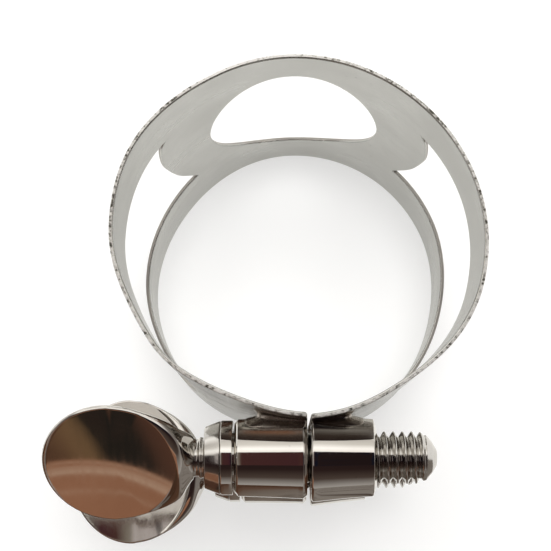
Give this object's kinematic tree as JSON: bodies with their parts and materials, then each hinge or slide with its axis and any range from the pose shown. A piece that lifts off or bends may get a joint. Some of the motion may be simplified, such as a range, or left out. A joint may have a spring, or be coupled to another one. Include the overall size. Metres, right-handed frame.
{
  "type": "saxophone ligature",
  "caption": "Sprung conical metal band, open at the back and sides, split along the reed side and drawn closed by two thumb screws in brazed barrels, to clamp a reed on a mouthpiece.",
  "frame": {"origin": "centre of the small rim, on the band's axis", "axes": "+Z along the band's axis from the small rim to the large rim; the split and the screws are on -Y; the screw heads point to -X"},
  "size_m": [0.0341, 0.0375, 0.0314],
  "materials": {
    "band_nickel": "nickel-plated rolled sheet, lightly brushed inside",
    "polished_nickel": "mirror-polished nickel plate",
    "screw_nickel": "nickel-plated machined thread",
    "braze": "plated over brazed fillet"
  },
  "bodies": {
    "band": {"band": "band_nickel", "front_plain_barrel": "polished_nickel", "front_threaded_barrel": "polished_nickel", "front_plain_saddle": "braze", "front_threaded_saddle": "braze", "rear_plain_barrel": "polished_nickel", "rear_threaded_barrel": "polished_nickel", "rear_plain_saddle": "braze", "rear_threaded_saddle": "braze"},
    "front_washer": {"front_thrust_washer": "polished_nickel"},
    "front_screw": {"front_thumb_screw": "screw_nickel", "front_screw_head": "polished_nickel"},
    "rear_washer": {"rear_thrust_washer": "polished_nickel"},
    "rear_screw": {"rear_thumb_screw": "screw_nickel", "rear_screw_head": "polished_nickel"}
  },
  "joints": [
    {"name": "front_screw_travel", "type": "slide", "parent": "band", "child": "front_washer", "axis": [-1, 0, 0], "range_m": [0, 0.0056]},
    {"name": "front_screw_turn", "type": "hinge", "parent": "front_washer", "child": "front_screw", "pos_m": [-0.00597, -0.01625, 0.026], "axis": [-1, 0, 0], "range_deg": [0, 2882]},
    {"name": "rear_screw_travel", "type": "slide", "parent": "band", "child": "rear_washer", "axis": [-0.9997, -0.0244, 0], "range_m": [0, 0.0056]},
    {"name": "rear_screw_turn", "type": "hinge", "parent": "rear_washer", "child": "rear_screw", "pos_m": [-0.00597, -0.01656, 0.0085], "axis": [-0.9997, -0.0244, 0], "range_deg": [0, 2882]}
  ],
  "couplings": [
    {"joint": "front_screw_turn", "follows": "front_screw_travel", "rad_per_m": 8976},
    {"joint": "rear_screw_turn", "follows": "rear_screw_travel", "rad_per_m": 8976}
  ]
}
